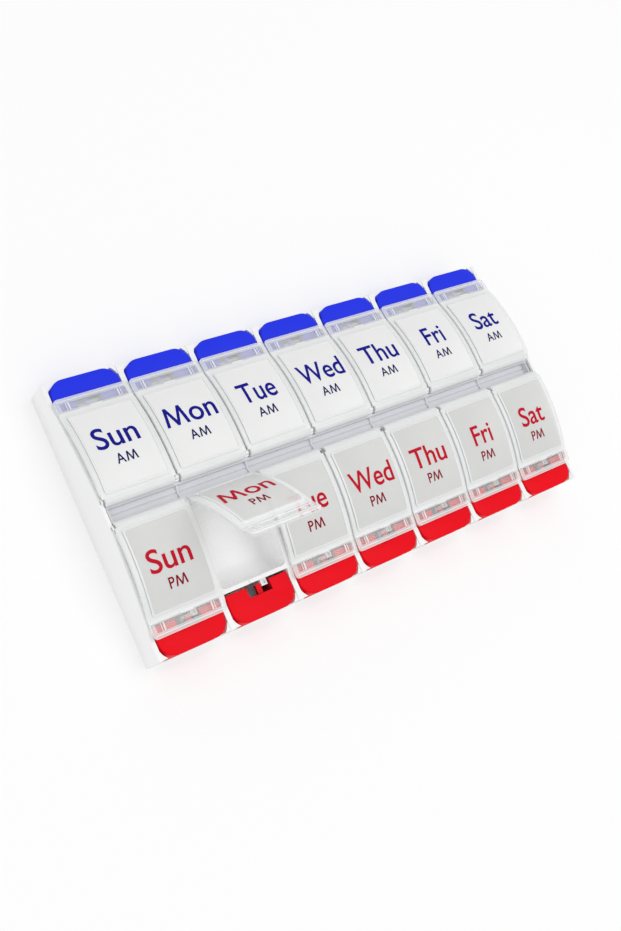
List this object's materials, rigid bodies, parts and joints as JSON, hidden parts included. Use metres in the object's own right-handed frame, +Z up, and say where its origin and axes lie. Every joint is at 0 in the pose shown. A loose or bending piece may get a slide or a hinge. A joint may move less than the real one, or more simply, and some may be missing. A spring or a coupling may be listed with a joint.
{
  "type": "weekly pill organizer",
  "caption": "Flat white pill tray with an arched profile, clear hinged day lids in a morning and an evening row, and a blue or red push button in front of each lid.",
  "frame": {"origin": "centre of the tray's flat underside, on the surface it rests on", "axes": "+X along the length from the first day column to the last, +Y towards the morning row (blue buttons), +Z up"},
  "size_m": [0.2146, 0.1064, 0.0539],
  "materials": {
    "tray_white": "satin white moulded polypropylene",
    "lid_clear": "clear lid with a frosted window",
    "button_blue": "satin blue moulded plastic",
    "button_red": "satin red moulded plastic"
  },
  "bodies": {
    "tray": {"tray": "tray_white"},
    "lid_sun_am": {"lid_sun_am": "lid_clear"},
    "lid_mon_am": {"lid_mon_am": "lid_clear"},
    "lid_tue_am": {"lid_tue_am": "lid_clear"},
    "lid_wed_am": {"lid_wed_am": "lid_clear"},
    "lid_thu_am": {"lid_thu_am": "lid_clear"},
    "lid_fri_am": {"lid_fri_am": "lid_clear"},
    "lid_sat_am": {"lid_sat_am": "lid_clear"},
    "button_sun_am": {"button_sun_am": "button_blue"},
    "button_mon_am": {"button_mon_am": "button_blue"},
    "button_tue_am": {"button_tue_am": "button_blue"},
    "button_wed_am": {"button_wed_am": "button_blue"},
    "button_thu_am": {"button_thu_am": "button_blue"},
    "button_fri_am": {"button_fri_am": "button_blue"},
    "button_sat_am": {"button_sat_am": "button_blue"},
    "lid_sun_pm": {"lid_sun_pm": "lid_clear"},
    "lid_mon_pm": {"lid_mon_pm": "lid_clear"},
    "lid_tue_pm": {"lid_tue_pm": "lid_clear"},
    "lid_wed_pm": {"lid_wed_pm": "lid_clear"},
    "lid_thu_pm": {"lid_thu_pm": "lid_clear"},
    "lid_fri_pm": {"lid_fri_pm": "lid_clear"},
    "lid_sat_pm": {"lid_sat_pm": "lid_clear"},
    "button_sun_pm": {"button_sun_pm": "button_red"},
    "button_mon_pm": {"button_mon_pm": "button_red"},
    "button_tue_pm": {"button_tue_pm": "button_red"},
    "button_wed_pm": {"button_wed_pm": "button_red"},
    "button_thu_pm": {"button_thu_pm": "button_red"},
    "button_fri_pm": {"button_fri_pm": "button_red"},
    "button_sat_pm": {"button_sat_pm": "button_red"}
  },
  "joints": [
    {"name": "lid_sun_am_hinge", "type": "hinge", "parent": "tray", "child": "lid_sun_am", "pos_m": [-0.0915, 0.005, 0.0197], "axis": [1, 0, 0], "range_deg": [0, 96]},
    {"name": "lid_mon_am_hinge", "type": "hinge", "parent": "tray", "child": "lid_mon_am", "pos_m": [-0.061, 0.005, 0.0197], "axis": [1, 0, 0], "range_deg": [0, 96]},
    {"name": "lid_tue_am_hinge", "type": "hinge", "parent": "tray", "child": "lid_tue_am", "pos_m": [-0.0305, 0.005, 0.0197], "axis": [1, 0, 0], "range_deg": [0, 96]},
    {"name": "lid_wed_am_hinge", "type": "hinge", "parent": "tray", "child": "lid_wed_am", "pos_m": [0, 0.005, 0.0197], "axis": [1, 0, 0], "range_deg": [0, 96]},
    {"name": "lid_thu_am_hinge", "type": "hinge", "parent": "tray", "child": "lid_thu_am", "pos_m": [0.0305, 0.005, 0.0197], "axis": [1, 0, 0], "range_deg": [0, 96]},
    {"name": "lid_fri_am_hinge", "type": "hinge", "parent": "tray", "child": "lid_fri_am", "pos_m": [0.061, 0.005, 0.0197], "axis": [1, 0, 0], "range_deg": [0, 96]},
    {"name": "lid_sat_am_hinge", "type": "hinge", "parent": "tray", "child": "lid_sat_am", "pos_m": [0.0915, 0.005, 0.0197], "axis": [1, 0, 0], "range_deg": [0, 96]},
    {"name": "button_sun_am_press", "type": "hinge", "parent": "tray", "child": "button_sun_am", "pos_m": [-0.0915, 0.0434, 0.008], "axis": [-1, 0, 0], "range_deg": [0, 12], "stiffness_Nm_per_rad": 0.08, "springref_deg": -2.29},
    {"name": "button_mon_am_press", "type": "hinge", "parent": "tray", "child": "button_mon_am", "pos_m": [-0.061, 0.0434, 0.008], "axis": [-1, 0, 0], "range_deg": [0, 12], "stiffness_Nm_per_rad": 0.08, "springref_deg": -2.29},
    {"name": "button_tue_am_press", "type": "hinge", "parent": "tray", "child": "button_tue_am", "pos_m": [-0.0305, 0.0434, 0.008], "axis": [-1, 0, 0], "range_deg": [0, 12], "stiffness_Nm_per_rad": 0.08, "springref_deg": -2.29},
    {"name": "button_wed_am_press", "type": "hinge", "parent": "tray", "child": "button_wed_am", "pos_m": [0, 0.0434, 0.008], "axis": [-1, 0, 0], "range_deg": [0, 12], "stiffness_Nm_per_rad": 0.08, "springref_deg": -2.29},
    {"name": "button_thu_am_press", "type": "hinge", "parent": "tray", "child": "button_thu_am", "pos_m": [0.0305, 0.0434, 0.008], "axis": [-1, 0, 0], "range_deg": [0, 12], "stiffness_Nm_per_rad": 0.08, "springref_deg": -2.29},
    {"name": "button_fri_am_press", "type": "hinge", "parent": "tray", "child": "button_fri_am", "pos_m": [0.061, 0.0434, 0.008], "axis": [-1, 0, 0], "range_deg": [0, 12], "stiffness_Nm_per_rad": 0.08, "springref_deg": -2.29},
    {"name": "button_sat_am_press", "type": "hinge", "parent": "tray", "child": "button_sat_am", "pos_m": [0.0915, 0.0434, 0.008], "axis": [-1, 0, 0], "range_deg": [0, 12], "stiffness_Nm_per_rad": 0.08, "springref_deg": -2.29},
    {"name": "lid_sun_pm_hinge", "type": "hinge", "parent": "tray", "child": "lid_sun_pm", "pos_m": [-0.0915, -0.005, 0.0197], "axis": [-1, 0, 0], "range_deg": [0, 96]},
    {"name": "lid_mon_pm_hinge", "type": "hinge", "parent": "tray", "child": "lid_mon_pm", "pos_m": [-0.061, -0.005, 0.0197], "axis": [-1, 0, 0], "range_deg": [-62.6, 33.4]},
    {"name": "lid_tue_pm_hinge", "type": "hinge", "parent": "tray", "child": "lid_tue_pm", "pos_m": [-0.0305, -0.005, 0.0197], "axis": [-1, 0, 0], "range_deg": [0, 96]},
    {"name": "lid_wed_pm_hinge", "type": "hinge", "parent": "tray", "child": "lid_wed_pm", "pos_m": [0, -0.005, 0.0197], "axis": [-1, 0, 0], "range_deg": [0, 96]},
    {"name": "lid_thu_pm_hinge", "type": "hinge", "parent": "tray", "child": "lid_thu_pm", "pos_m": [0.0305, -0.005, 0.0197], "axis": [-1, 0, 0], "range_deg": [0, 96]},
    {"name": "lid_fri_pm_hinge", "type": "hinge", "parent": "tray", "child": "lid_fri_pm", "pos_m": [0.061, -0.005, 0.0197], "axis": [-1, 0, 0], "range_deg": [0, 96]},
    {"name": "lid_sat_pm_hinge", "type": "hinge", "parent": "tray", "child": "lid_sat_pm", "pos_m": [0.0915, -0.005, 0.0197], "axis": [-1, 0, 0], "range_deg": [0, 96]},
    {"name": "button_sun_pm_press", "type": "hinge", "parent": "tray", "child": "button_sun_pm", "pos_m": [-0.0915, -0.0434, 0.008], "axis": [1, 0, 0], "range_deg": [0, 12], "stiffness_Nm_per_rad": 0.08, "springref_deg": -2.29},
    {"name": "button_mon_pm_press", "type": "hinge", "parent": "tray", "child": "button_mon_pm", "pos_m": [-0.061, -0.0434, 0.008], "axis": [1, 0, 0], "range_deg": [0, 12], "stiffness_Nm_per_rad": 0.08, "springref_deg": -2.29},
    {"name": "button_tue_pm_press", "type": "hinge", "parent": "tray", "child": "button_tue_pm", "pos_m": [-0.0305, -0.0434, 0.008], "axis": [1, 0, 0], "range_deg": [0, 12], "stiffness_Nm_per_rad": 0.08, "springref_deg": -2.29},
    {"name": "button_wed_pm_press", "type": "hinge", "parent": "tray", "child": "button_wed_pm", "pos_m": [0, -0.0434, 0.008], "axis": [1, 0, 0], "range_deg": [0, 12], "stiffness_Nm_per_rad": 0.08, "springref_deg": -2.29},
    {"name": "button_thu_pm_press", "type": "hinge", "parent": "tray", "child": "button_thu_pm", "pos_m": [0.0305, -0.0434, 0.008], "axis": [1, 0, 0], "range_deg": [0, 12], "stiffness_Nm_per_rad": 0.08, "springref_deg": -2.29},
    {"name": "button_fri_pm_press", "type": "hinge", "parent": "tray", "child": "button_fri_pm", "pos_m": [0.061, -0.0434, 0.008], "axis": [1, 0, 0], "range_deg": [0, 12], "stiffness_Nm_per_rad": 0.08, "springref_deg": -2.29},
    {"name": "button_sat_pm_press", "type": "hinge", "parent": "tray", "child": "button_sat_pm", "pos_m": [0.0915, -0.0434, 0.008], "axis": [1, 0, 0], "range_deg": [0, 12], "stiffness_Nm_per_rad": 0.08, "springref_deg": -2.29}
  ]
}
